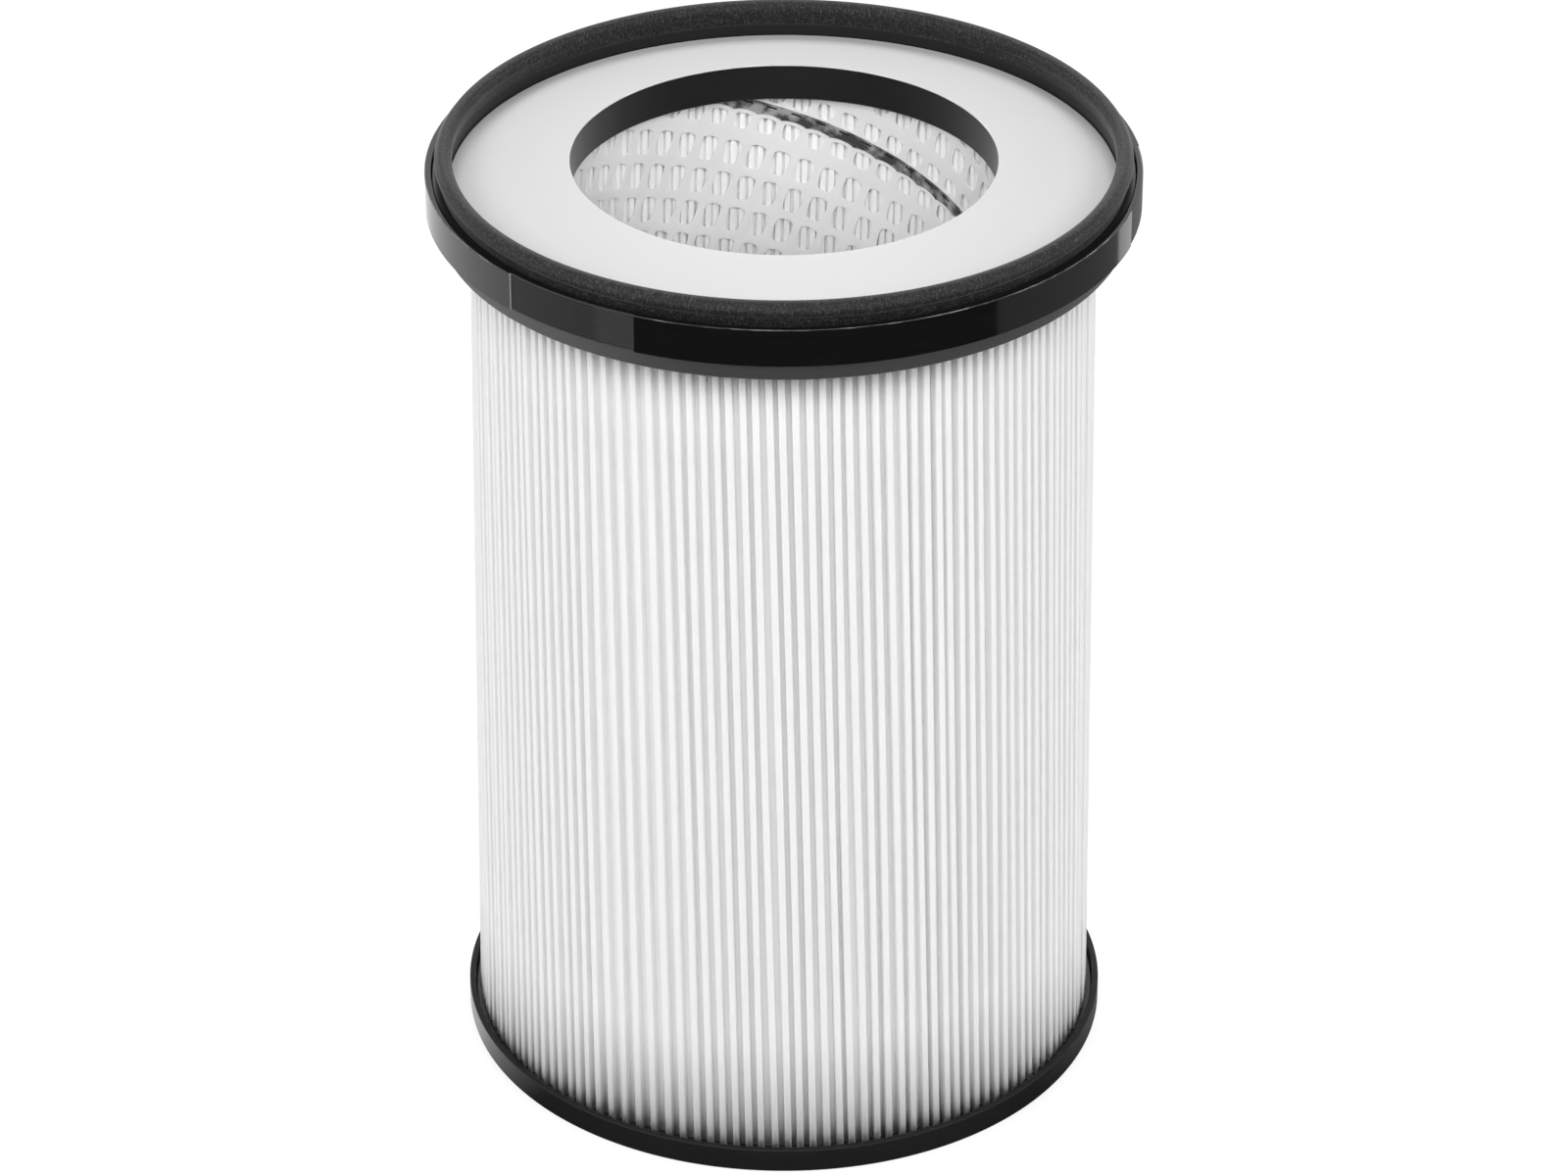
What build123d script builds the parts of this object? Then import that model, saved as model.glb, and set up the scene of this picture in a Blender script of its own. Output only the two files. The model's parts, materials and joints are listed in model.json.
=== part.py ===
from build123d import *
import os
from math import asin, cos, pi, sin

# A cartridge filter for a dust extractor: a folded fleece pack round an open liner,
# held between a closed bottom pan and a top cap with a round outlet.
# Millimetres, +Z up, origin at the middle of the base, front towards -Y.

# Clearance between round walls that stand inside one another
fit_gap = 0.3

# Folded fleece pack
pleat_count = 150
pleat_tip_radius = 160.5
pleat_depth = 48.0
pleat_length = 461.0
fleece_thickness = 0.8
outer_fold_gap = 2.0
inner_fold_gap = 1.0

# Liner with helical rows of windows
liner_wall = 1.3
windows_per_turn = 16
window_turns = 4
window_bar = 20.0
window_row_bar = 30.0
window_end_margin = 12.0

# Bottom pan and the resin that the pleats stand in
pan_margin = 6.0
pan_wall = 3.5
pan_height = 13.5
pan_floor = 3.0
pan_edge_chamfer = 0.8
bottom_resin_depth = 6.0

# Top cap: collar, web, lower lip and seal wall
top_resin_depth = 14.0
web_thickness = 3.0
collar_wall = 3.4
spigot_depth = 2.6
tray_margin = 7.5
lip_wall = 4.5
lip_depth = 17.0
shoulder_drop = 8.5
shoulder_width = 1.7
seal_wall = 7.7
seal_wall_rise = 9.0

# Dished cover plate
plate_thickness = 2.6
plate_rise = 11.4
plate_seat_width = 3.0

# Seal bead
seal_foot_width = 6.4
bead_radius = 5.7
bead_rise = 7.0

# Grip ring with ribbed grips cut into its outer face
grip_wall = 3.4
grip_height = 19.5
grip_edge_fillet = 0.6
grip_count = 3
grip_first_angle = -136.1
grip_span = 23.0
rib_count = 13
rib_height = 0.8
rib_sink = 0.2

# Radii from the pleats inwards to the outlet and outwards to the rim
pleat_inner_radius = pleat_tip_radius - pleat_depth
liner_radius = pleat_inner_radius - fit_gap
liner_inner_radius = liner_radius - liner_wall
collar_radius = liner_inner_radius - fit_gap
outlet_radius = collar_radius - collar_wall
pan_inner_radius = pleat_tip_radius + pan_margin
pan_radius = pan_inner_radius + pan_wall
tray_radius = pleat_tip_radius + tray_margin
seal_wall_inner_radius = tray_radius + fit_gap
seal_wall_radius = seal_wall_inner_radius + seal_wall
grip_inner_radius = seal_wall_radius + fit_gap
grip_radius = grip_inner_radius + grip_wall

# Heights from the base to the rim
pack_base = pan_floor + bottom_resin_depth
pack_top = pack_base + pleat_length
web_base = pack_top + top_resin_depth
web_top = web_base + web_thickness
shoulder_height = web_top - shoulder_drop
seal_seat = web_top + seal_wall_rise
collar_top = web_top + plate_rise

os.makedirs("parts", exist_ok=True)


def beside(radius, angle, offset):
    """Point at a radius, set off sideways from the direction of an angle."""
    turn = angle + asin(offset / radius)
    return (radius * cos(turn), radius * sin(turn))


def ring(section_points):
    """Turned ring from the corners of its section, given as radius and height."""
    with BuildPart() as turned:
        with BuildSketch(Plane.XZ):
            with BuildLine():
                Polyline(*section_points, close=True)
            make_face()
        revolve(axis=Axis.Z)
    return turned


# Bottom pan
with BuildPart() as bottom_end_cap:
    Cylinder(pan_radius, pan_height, align=(Align.CENTER, Align.CENTER, Align.MIN))
    with Locations((0, 0, pan_floor)):
        Cylinder(
            pan_inner_radius,
            pan_height - pan_floor,
            align=(Align.CENTER, Align.CENTER, Align.MIN),
            mode=Mode.SUBTRACT,
        )
    outer_edges = bottom_end_cap.edges().filter_by(GeomType.CIRCLE).sort_by(SortBy.RADIUS)[-2:]
    chamfer(outer_edges, length=min(pan_edge_chamfer, 0.4 * pan_wall))
bottom_end_cap.part.label = "bottom_end_cap"
export_step(bottom_end_cap.part, "parts/bottom_end_cap.step")

# Resin rings that hold the pleats at both ends
bottom_potting = ring(
    [
        (liner_radius + fit_gap, pan_floor),
        (pan_inner_radius - fit_gap, pan_floor),
        (pan_inner_radius - fit_gap, pack_base),
        (liner_radius + fit_gap, pack_base),
    ]
)
bottom_potting.part.label = "bottom_potting"
export_step(bottom_potting.part, "parts/bottom_potting.step")

top_potting = ring(
    [
        (liner_radius + fit_gap, pack_top),
        (tray_radius - fit_gap, pack_top),
        (tray_radius - fit_gap, web_base),
        (liner_radius + fit_gap, web_base),
    ]
)
top_potting.part.label = "top_potting"
export_step(top_potting.part, "parts/top_potting.step")

# Folded fleece: the outer side has three flats round each tip, the inner side one
outer_fold_width = outer_fold_gap + 2 * fleece_thickness
inner_fold_width = inner_fold_gap + 2 * fleece_thickness
tip_base_radius = pleat_tip_radius - outer_fold_width * sin(pi / 3) / 2
valley_radius = pleat_inner_radius + fleece_thickness
half_step = pi / pleat_count
outer_side = []
inner_side = []
for pleat in range(pleat_count):
    tip_angle = 2 * half_step * pleat
    fold_angle = tip_angle + half_step
    outer_side += [
        beside(tip_base_radius, tip_angle, -outer_fold_width / 2),
        beside(pleat_tip_radius, tip_angle, -outer_fold_width / 4),
        beside(pleat_tip_radius, tip_angle, outer_fold_width / 4),
        beside(tip_base_radius, tip_angle, outer_fold_width / 2),
        beside(valley_radius, fold_angle, -inner_fold_gap / 2),
        beside(valley_radius, fold_angle, inner_fold_gap / 2),
    ]
    inner_side += [
        beside(tip_base_radius, tip_angle, -outer_fold_gap / 2),
        beside(tip_base_radius, tip_angle, outer_fold_gap / 2),
        beside(pleat_inner_radius, fold_angle, -inner_fold_width / 2),
        beside(pleat_inner_radius, fold_angle, inner_fold_width / 2),
    ]

with BuildPart() as pleat_pack:
    with BuildSketch(Plane.XY.offset(pack_base)):
        with BuildLine():
            Polyline(*outer_side, close=True)
        make_face()
        with BuildLine():
            Polyline(*inner_side, close=True)
        make_face(mode=Mode.SUBTRACT)
    extrude(amount=pleat_length)
pleat_pack.part.label = "pleat_pack"
export_step(pleat_pack.part, "parts/pleat_pack.step")

# Liner: the windows climb in a right-handed helix
window_width = 2 * pi * liner_radius / windows_per_turn - window_bar
window_lead = (pleat_length - 2 * window_end_margin + window_row_bar) / (window_turns + 1)
window_height = window_lead - window_row_bar
window_planes = []
for window in range(windows_per_turn * window_turns):
    turns = window / windows_per_turn
    climb = pack_base + window_end_margin + window_height / 2 + window_lead * turns
    out = (cos(2 * pi * turns), sin(2 * pi * turns), 0)
    along = (-sin(2 * pi * turns), cos(2 * pi * turns), 0)
    window_planes.append(Plane(origin=(0, 0, climb), x_dir=along, z_dir=out))

with BuildPart() as support_liner:
    with BuildSketch(Plane.XY.offset(pan_floor)):
        Circle(liner_radius)
        Circle(liner_inner_radius, mode=Mode.SUBTRACT)
    extrude(amount=web_base - pan_floor)
    with BuildSketch(*window_planes):
        Rectangle(window_width, window_height)
    extrude(amount=liner_radius + fit_gap, mode=Mode.SUBTRACT)
support_liner.part.label = "support_liner"
export_step(support_liner.part, "parts/support_liner.step")

# Top cap
top_end_cap = ring(
    [
        (outlet_radius, web_base - spigot_depth),
        (collar_radius, web_base - spigot_depth),
        (collar_radius, web_base),
        (tray_radius, web_base),
        (tray_radius, web_base - lip_depth),
        (tray_radius + lip_wall, web_base - lip_depth),
        (grip_inner_radius + shoulder_width, shoulder_height),
        (seal_wall_radius, shoulder_height),
        (seal_wall_radius, seal_seat),
        (seal_wall_inner_radius, seal_seat),
        (seal_wall_inner_radius, web_top),
        (collar_radius, web_top),
        (collar_radius, collar_top),
        (outlet_radius, collar_top),
    ]
)
top_end_cap.part.label = "top_end_cap"
export_step(top_end_cap.part, "parts/top_end_cap.step")

# Cover plate: its rim rests on the web and its inner edge on the collar
cover_plate = ring(
    [
        (outlet_radius, collar_top),
        (collar_radius + fit_gap, collar_top),
        (tray_radius - plate_seat_width, web_top),
        (tray_radius, web_top),
        (tray_radius, web_top + plate_thickness),
        (outlet_radius, collar_top + plate_thickness),
    ]
)
cover_plate.part.label = "cover_plate"
export_step(cover_plate.part, "parts/cover_plate.step")

# Seal: a round-topped bead that leans inwards over its foot on the seal wall
bead_outer_radius = seal_wall_inner_radius + seal_foot_width
bead_height = seal_seat + bead_rise
with BuildPart() as seal_ring:
    with BuildSketch(Plane.XZ):
        with BuildLine():
            Polyline(
                (bead_outer_radius - 2 * bead_radius, bead_height),
                (seal_wall_inner_radius, seal_seat),
                (bead_outer_radius, seal_seat),
                (bead_outer_radius, bead_height),
            )
            CenterArc((bead_outer_radius - bead_radius, bead_height), bead_radius, 0, 180)
        make_face()
    revolve(axis=Axis.Z)
seal_ring.part.label = "seal_ring"
export_step(seal_ring.part, "parts/seal_ring.step")

# Grip ring: each grip is a toothed sector cut over the whole height of the ring
rib_pitch = grip_height / rib_count
rib_crest = grip_radius - rib_sink
rib_root = rib_crest - rib_height
rib_line = [(grip_radius + rib_height, shoulder_height), (rib_root, shoulder_height)]
for rib in range(rib_count):
    foot = shoulder_height + rib * rib_pitch
    rib_line += [(rib_crest, foot + rib_pitch / 2), (rib_root, foot + rib_pitch)]
rib_line.append((grip_radius + rib_height, shoulder_height + grip_height))

with BuildPart() as grip_ring:
    with BuildSketch(Plane.XY.offset(shoulder_height)):
        Circle(grip_radius)
        Circle(grip_inner_radius, mode=Mode.SUBTRACT)
    extrude(amount=grip_height)
    top_edge = grip_ring.edges().filter_by(GeomType.CIRCLE).group_by(Axis.Z)[-1].sort_by(SortBy.RADIUS)[-1]
    fillet(top_edge, radius=min(grip_edge_fillet, 0.4 * grip_wall))
    for grip in range(grip_count):
        start = grip_first_angle + grip * 360 / grip_count
        with BuildSketch(Plane.XZ.rotated((0, start, 0))):
            with BuildLine():
                Polyline(*rib_line, close=True)
            make_face()
        revolve(axis=Axis.Z, revolution_arc=grip_span, mode=Mode.SUBTRACT)
grip_ring.part.label = "grip_ring"
export_step(grip_ring.part, "parts/grip_ring.step")
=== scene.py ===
"""Looks of an upright pleated filter for a dust extractor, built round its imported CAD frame."""

import json
import random
from math import atan, atan2, ceil, cos, exp, pi, radians, sin, tau

import bmesh
import bpy
from bpy.props import FloatProperty, FloatVectorProperty, IntProperty, PointerProperty
from mathutils import Matrix, Vector


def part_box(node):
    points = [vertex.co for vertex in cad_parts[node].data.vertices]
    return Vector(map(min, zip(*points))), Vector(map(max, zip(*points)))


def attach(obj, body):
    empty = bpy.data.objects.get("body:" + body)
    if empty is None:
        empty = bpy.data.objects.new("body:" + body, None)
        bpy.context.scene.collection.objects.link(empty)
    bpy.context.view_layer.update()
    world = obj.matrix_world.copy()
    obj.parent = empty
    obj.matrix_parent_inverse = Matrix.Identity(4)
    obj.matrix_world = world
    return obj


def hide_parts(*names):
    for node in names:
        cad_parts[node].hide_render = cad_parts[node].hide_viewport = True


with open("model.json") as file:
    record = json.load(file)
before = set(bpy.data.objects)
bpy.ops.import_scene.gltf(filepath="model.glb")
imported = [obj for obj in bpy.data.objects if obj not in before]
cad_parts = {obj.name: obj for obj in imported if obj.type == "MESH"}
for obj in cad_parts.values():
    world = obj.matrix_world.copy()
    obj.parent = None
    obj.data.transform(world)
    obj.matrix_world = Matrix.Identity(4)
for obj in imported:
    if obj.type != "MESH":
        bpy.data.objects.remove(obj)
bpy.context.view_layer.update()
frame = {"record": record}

bl_info = {
    "name": "Dust Extractor Filter",
    "version": (1, 0, 0),
    "blender": (4, 5, 0),
    "location": "View3D > Sidebar > Filter",
    "description": "Builds the pieces of a pleated cartridge filter round its CAD frame",
    "category": "Add Mesh",
}


def reach(node):
    """Outer radius, foot and top of a round CAD node."""
    low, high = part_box(node)
    return high.x, low.z, high.z


def bore_radius(name):
    """Radius of one of the record's bores."""
    for mount in frame["record"]["mounts"]:
        if mount["name"] == name:
            return mount["dims"]["r_mm"] / 1000
    raise ValueError(f"the record has no bore named {name}")


# Radii and heights that the frame gives, in metres
PAN_RADIUS, PAN_FOOT, PAN_TOP = reach("bottom_end_cap")
LOWER_RESIN_RADIUS, PAN_FLOOR, PACK_FOOT = reach("bottom_potting")
PLEAT_RADIUS, _, PACK_TOP = reach("pleat_pack")
LINER_RADIUS, LINER_FOOT, LINER_TOP = reach("support_liner")
UPPER_RESIN_RADIUS, _, WEB_FOOT = reach("top_potting")
SHOULDER_RADIUS, LIP_FOOT, _ = reach("top_end_cap")
PLATE_RADIUS, WEB_TOP, PLATE_TOP = reach("cover_plate")
SEAL_RADIUS, SEAL_FOOT, SEAL_TOP = reach("seal_ring")
GRIP_RADIUS, GRIP_FOOT, GRIP_TOP = reach("grip_ring")
OUTLET_RADIUS = bore_radius("outlet_bore")


# Properties
def length(name, description, millimetres):
    """A length that a user may change."""
    return FloatProperty(
        name=name,
        description=description,
        default=millimetres / 1000,
        unit="LENGTH",
        precision=5,
    )


def angle(name, description, degrees):
    """An angle that a user may change."""
    return FloatProperty(name=name, description=description, default=radians(degrees), subtype="ANGLE")


def share(name, description, default):
    """A share of 0 to 1 that a user may change."""
    return FloatProperty(name=name, description=description, default=default, min=0, max=1, subtype="FACTOR")


def count(name, description, default):
    """A whole number that a user may change."""
    return IntProperty(name=name, description=description, default=default, min=1)


def colour(name, description, default):
    """A colour that a user may change."""
    return FloatVectorProperty(
        name=name,
        description=description,
        default=default,
        size=3,
        min=0,
        max=1,
        subtype="COLOR",
    )


def power(name, description, watts):
    """A lamp's power that a user may change."""
    return FloatProperty(name=name, description=description, default=watts, unit="POWER")


def position(name, description, metres):
    """A place that a user may change."""
    return FloatVectorProperty(name=name, description=description, default=metres, subtype="TRANSLATION")


class FilterSizes(bpy.types.PropertyGroup):
    """Sizes of the filter's pieces that the frame's boxes don't give."""

    ring_steps: count("Ring steps", "Faces round each turned piece", 240)
    fit_gap: length("Fit gap", "Clearance between round walls that stand in one another", 0.3)

    pan_wall: length("Pan wall", "Thickness of the bottom pan's wall", 3.5)
    collar_wall: length("Collar wall", "Thickness of the outlet's collar", 3.4)
    spigot_depth: length("Spigot depth", "How far the collar reaches down into the liner", 2.6)
    lip_wall: length("Lip wall", "Thickness of the top cap's lower lip at its edge", 4.5)
    seal_wall: length("Seal wall", "Thickness of the wall that carries the seal", 7.7)
    plate_thickness: length("Plate thickness", "Thickness of the cover plate", 2.6)
    plate_edge: length("Plate edge", "Thickness of the plate's edge over the collar", 0.6)
    plate_seat: length("Plate seat", "Width of the plate's flat rim on the web", 3.0)

    bead_radius: length("Bead radius", "Radius of the seal's round bead", 4.4)
    seal_foot: length("Seal foot", "Width of the seal's foot", 4)
    lobe_depth: length("Lobe depth", "Depth of the hollow between the bead's two lobes", 0.4)
    lobe_place: angle("Lobe place", "Place of that hollow on the bead's outer side", 36)
    crease_depth: length("Crease depth", "Depth of the parting crease along the bead", 0.35)
    crease_place: angle("Crease place", "Place of the crease, from the bead's outer side over its top", 138)

    grip_wall: length("Grip wall", "Thickness of the grip ring", 3.4)
    grip_count: count("Grips", "Ribbed grips round the ring", 3)
    grip_first: angle("First grip", "Start of the first grip, from the front towards the right", -47.5)
    grip_degrees: count("Grip span", "Degrees that each grip spans", 24)
    rib_count: count("Ribs", "Ribs on each grip, from its foot to its top", 13)
    rib_height: length("Rib height", "Height of a rib over its grooves", 0.8)
    rib_sink: length("Rib sink", "How far the ribs lie under the ring's face", 0.2)
    grip_line: length("Grip line", "How far the line at a grip's left end stands out", 0.12)

    pleat_count: count("Pleats", "Pleats round the pack", 150)
    pleat_depth: length("Pleat depth", "Depth of a pleat from its tip to its fold", 48)
    fleece_thickness: length("Fleece thickness", "Thickness of the fleece", 0.8)
    tip_width: length("Tip width", "Width of a pleat's rounded tip", 3.5)
    groove_depth: length("Groove depth", "Depth of the groove between neighbouring tips", 4.7)
    fold_width: length("Fold width", "Width of a fold on the inside of the pack", 3.2)
    fold_groove: length("Fold groove", "Depth of the groove between neighbouring folds", 2)
    groove_slit: length("Groove slit", "Slit left between the legs that close a groove", 0.06)
    pack_levels: count("Pack levels", "Rows of faces from the pack's foot to its top", 7)
    pack_taper: length("Pack taper", "How much further the tips reach at the foot than at the top", 6.4)
    resin_cover: length("Resin cover", "Resin over the pleats' upper ends", 2.2)
    pack_twist: angle("Pack twist", "Turn of the pleats from the pack's top to its foot", 3.6)
    loose_place: angle("Loose place", "Where the pleats stand further apart, from the front", -29)
    loose_width: angle("Loose width", "How far that looser stretch reaches to each side", 8)
    loose_share: share("Looseness", "How much wider the pleats' steps are there", 0.3)
    uneven_share: share("Unevenness", "How much the other steps vary", 0.06)
    tip_wander: length("Tip wander", "How far a tip strays sideways along its height", 0.5)
    tip_reach: length("Tip reach", "How far some tips stand out further than others", 0.5)
    width_share: share("Width share", "How much the tips' widths vary", 0.1)

    liner_wall: length("Liner wall", "Thickness of the liner", 0.6)
    liner_lead: length("Liner lead", "Rise of the liner's strip in one turn", 233)
    seam_height: length("Seam height", "Height of the strip's seam at the back of the liner", 470.5)
    strip_columns: count("Window columns", "Windows along one turn of the strip", 50)
    strip_rows: count("Window rows", "Rows of windows across the strip", 12)
    window_width: length("Window width", "Width of a window", 9.2)
    window_height: length("Window height", "Height of a window", 13.9)
    short_window: length("Short window", "Height of the windows next to the seam", 9)
    seam_thickness: length("Seam thickness", "Thickness of the glued seam on the liner", 0.6)
    seam_rise: length("Seam rise", "How far the seam reaches over its own line", 3.6)
    seam_drop: length("Seam drop", "How far the seam reaches under its line between windows", 3.6)
    seam_scallop: length("Seam scallop", "Height of the arches over the windows", 1.3)


class FilterColours(bpy.types.PropertyGroup):
    """Colours of the filter's finishes."""

    pan_black: colour("Pan black", "Satin black of the bottom pan", (0.014, 0.014, 0.0142))
    cap_black: colour("Cap black", "Satin black of the top cap", (0.008, 0.008, 0.0082))
    lip_grey: colour("Lip grey", "Grained dark grey of the top cap's lower lip", (0.05, 0.05, 0.0502))
    resin_black: colour("Resin black", "Dark cast resin round the pleats' ends", (0.02, 0.02, 0.021))
    fleece_white: colour("Fleece white", "White bonded fleece", (0.95, 0.95, 0.95))
    liner_white: colour("Liner white", "White plastic of the perforated liner", (0.92, 0.92, 0.92))
    # The seam's grey paints the shade along the strip's overlap, together with its glue.
    seam_glue_and_shade_grey: colour("Glue grey", "Grey glue line of the liner's seam", (0.19, 0.19, 0.19))
    plate_grey: colour("Plate grey", "Light grey of the cover plate", (0.7, 0.7, 0.7))
    seal_grey: colour("Seal grey", "Dark grey cellular rubber", (0.013, 0.013, 0.0132))
    grip_black: colour("Grip black", "Glossy black of the grip ring", (0.006, 0.006, 0.0062))


class StageSettings(bpy.types.PropertyGroup):
    """Camera, floor and light."""

    camera_place: position("Camera place", "Where the camera stands", (0, -2.637, 1.799))
    camera_tilt: angle("Camera tilt", "Turn of the camera up from straight down", 59.587)
    camera_lens: FloatProperty(
        name="Lens",
        description="Focal length on a 36 mm wide sensor",
        default=134.615,
        unit="CAMERA",
    )
    floor_size: length("Floor size", "Side of the square floor", 14000)
    world_light: share("World light", "Strength of the even light from all round", 0.18)
    side_place: position("Side lamp place", "Where the low right lamp stands", (2.35, -0.5, 0.75))
    side_power: power("Side lamps", "Power of each low side lamp", 10)
    high_place: position("High lamp place", "Where the front right lamp stands", (2.58, -2.32, 2.96))
    left_power: power("Left lamp", "Power of the front left lamp", 51)
    right_power: power("Right lamp", "Power of the front right lamp", 47)
    front_place: position("Front lamp place", "Where the high front lamp stands", (0, -4.0, 3.9))
    front_power: power("Front lamp", "Power of the high front lamp", 96)
    back_place: position("Back lamp place", "Where the back lamp stands", (0, 2.06, 2.95))
    back_power: power("Back lamp", "Power of the back lamp", 54)
    inner_place: position("Inner lamp place", "Where the inner lamp stands", (0, -3.0, 2.1))
    inner_power: power("Inner lamp", "Power of the narrow lamp that shines into the outlet", 60)
    beam_width: length("Beam width", "Width of the inner lamp's beam at the outlet", 204)
    side_lamp: length("Side lamp size", "Side of each square side lamp", 800)
    high_lamp: length("High lamp size", "Side of the front left, front right and back lamps", 1900)
    front_lamp: length("Front lamp size", "Side of the square front lamp", 2850)
    floor_grey: share("Floor grey", "Paleness of the floor where it lights the filter from below", 0.74)
    card_radius: length("Card radius", "Radius of the dark cards that darken the front reflections", 1800)
    card_left: angle("Card left end", "Where the black card begins, from the front towards the right", -57)
    card_middle: angle("Card middle", "Where the grey card follows on the black one", 66)
    card_right: angle("Card right end", "Where the grey card ends", 126)
    card_inner: length("Card inner radius", "Radius inside which the cards' ends fade out", 400)
    card_fade: angle("Card fade", "How long those ends take to fade", 24)
    card_step: angle("Card step", "How long the ends take further out", 0.5)
    shadow_share: share("Shadow share", "Part of the floor's white that takes the shadow", 0.22)


# Shader maths
def grey(level):
    """A grey with its alpha."""
    return (level, level, level, 1)


class Shade:
    """One output of a shader node. Operators between outputs and numbers add Math nodes."""

    def __init__(self, tree, socket=None):
        self.tree = tree
        self.socket = socket

    def node(self, kind, settings=None, sockets=None, out=0):
        """Add a node, apply its settings, fill its sockets and return one of its outputs."""
        made = self.tree.nodes.new(kind)
        for key, value in (settings or {}).items():
            if key == "stops":
                for stop, (place, level) in zip(made.color_ramp.elements, value):
                    stop.position = place
                    stop.color = grey(level)
            else:
                setattr(made, key, value)
        for key, value in (sockets or {}).items():
            if isinstance(value, Shade):
                self.tree.links.new(value.socket, made.inputs[key])
            else:
                made.inputs[key].default_value = value
        return Shade(self.tree, made.outputs[out] if made.outputs else None)

    def maths(self, operation, first, second=0.0):
        """One Math node."""
        return self.node("ShaderNodeMath", {"operation": operation}, {0: first, 1: second})

    def split(self):
        """The three parts of a vector."""
        parts = self.node("ShaderNodeSeparateXYZ", None, {0: self})
        return [Shade(self.tree, socket) for socket in parts.socket.node.outputs]

    def __add__(self, other):
        return self.maths("ADD", self, other)

    def __sub__(self, other):
        return self.maths("SUBTRACT", self, other)

    def __mul__(self, other):
        return self.maths("MULTIPLY", self, other)

    def __truediv__(self, other):
        return self.maths("DIVIDE", self, other)

    def __rsub__(self, other):
        return self.maths("SUBTRACT", other, self)

    __radd__ = __add__
    __rmul__ = __mul__


# Finishes
def new_finish(name):
    """An empty material and the start of its node tree."""
    material = bpy.data.materials.new(name)
    material.use_nodes = True
    material.node_tree.nodes.clear()
    return material, Shade(material.node_tree)


def close_finish(tree, sockets):
    """The Principled shader of a finish and its output."""
    surface = tree.node("ShaderNodeBsdfPrincipled", None, sockets)
    tree.node("ShaderNodeOutputMaterial", None, {"Surface": surface})


def tint(rgb, factor=1.0):
    """A colour made lighter or darker, with its alpha."""
    return (*[min(1.0, level * factor) for level in rgb], 1)


def noise(tree, vector, scale, detail=2.0):
    """Noise of a scale in marks per metre."""
    return tree.node("ShaderNodeTexNoise", None, {"Vector": vector, "Scale": scale, "Detail": detail})


def blend(tree, factor, first, second):
    """Mix of two colours."""
    return tree.node("ShaderNodeMix", {"data_type": "RGBA"}, {0: factor, 6: first, 7: second}, 2)


def stretched(tree, vector, turn, scale):
    """A pattern's vector, turned in its plane and then stretched."""
    turned_vector = tree.node("ShaderNodeMapping", None, {"Vector": vector, "Rotation": (0, 0, turn)})
    return tree.node("ShaderNodeMapping", None, {"Vector": turned_vector, "Scale": scale})


def bump(tree, height, distance, strength=1.0):
    """Surface normal from a height, with the relief's depth in metres."""
    return tree.node("ShaderNodeBump", None, {"Height": height, "Distance": distance, "Strength": strength})


def place_of(tree):
    """Place on a piece in the filter's own frame."""
    return tree.node("ShaderNodeTexCoord", None, None, "Object")


def round_place(tree, radius):
    """Place on a ring: the way round it, its radius and its height, in metres."""
    right, back, up = place_of(tree).split()
    turn = tree.maths("ARCTAN2", right, back * -1.0)
    out = tree.maths("SQRT", right * right + back * back)
    return tree.node("ShaderNodeCombineXYZ", None, {0: turn * radius, 1: out, 2: up})


def wear_and_highlight_edge(tree, radius, height, reach_in):
    """1 along a round edge at a radius and a height, broken up into dashes that run along it: wear, and a
    painted highlight where the edge catches light.
    """
    ring = round_place(tree, radius)
    _, out, up = ring.split()
    off = tree.maths("ABSOLUTE", out - radius) + tree.maths("ABSOLUTE", up - height)
    near = tree.maths("MAXIMUM", 1 - off / reach_in, 0.0)
    drawn_out = tree.node("ShaderNodeMapping", None, {"Vector": ring, "Scale": (90, 700, 700)})
    dashes = noise(tree, drawn_out, 1, 3)
    return near * tree.node("ShaderNodeValToRGB", {"stops": [(0.45, 0), (0.65, 1)]}, {0: dashes})


def satin_black(name, rgb, edge, roughness=0.26, gloss=0.5, relief=0.00003):
    """Moulded plastic with a fine spark-eroded skin."""
    material, tree = new_finish(name)
    place = place_of(tree)
    cloud = noise(tree, place, 18, 3)
    grain = noise(tree, place, 2400, 2)
    plain = blend(tree, cloud * 0.6 + grain * 0.4, tint(rgb, 0.75), tint(rgb, 1.3))
    # Pale dashes along one edge: wear on the cap's edges, painted glints of light on the pan's rim.
    wear_and_highlight = wear_and_highlight_edge(tree, *edge, 0.0009)
    close_finish(
        tree,
        {
            "Base Color": blend(tree, wear_and_highlight, plain, grey(0.16)),
            "Roughness": roughness + cloud * 0.1,
            "Specular IOR Level": gloss,
            "Normal": bump(tree, grain, relief, 0.5),
        },
    )
    return material


def cast_resin(rgb):
    """Poured resin with a soft skin."""
    material, tree = new_finish("cast_resin")
    place = place_of(tree)
    ripple = noise(tree, place, 90, 2)
    close_finish(
        tree,
        {
            "Base Color": blend(tree, ripple, tint(rgb, 0.8), tint(rgb, 1.25)),
            "Roughness": 0.38 + ripple * 0.15,
            "Specular IOR Level": 0.35,
            "Normal": bump(tree, ripple, 0.0008, 0.4),
        },
    )
    return material


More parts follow.
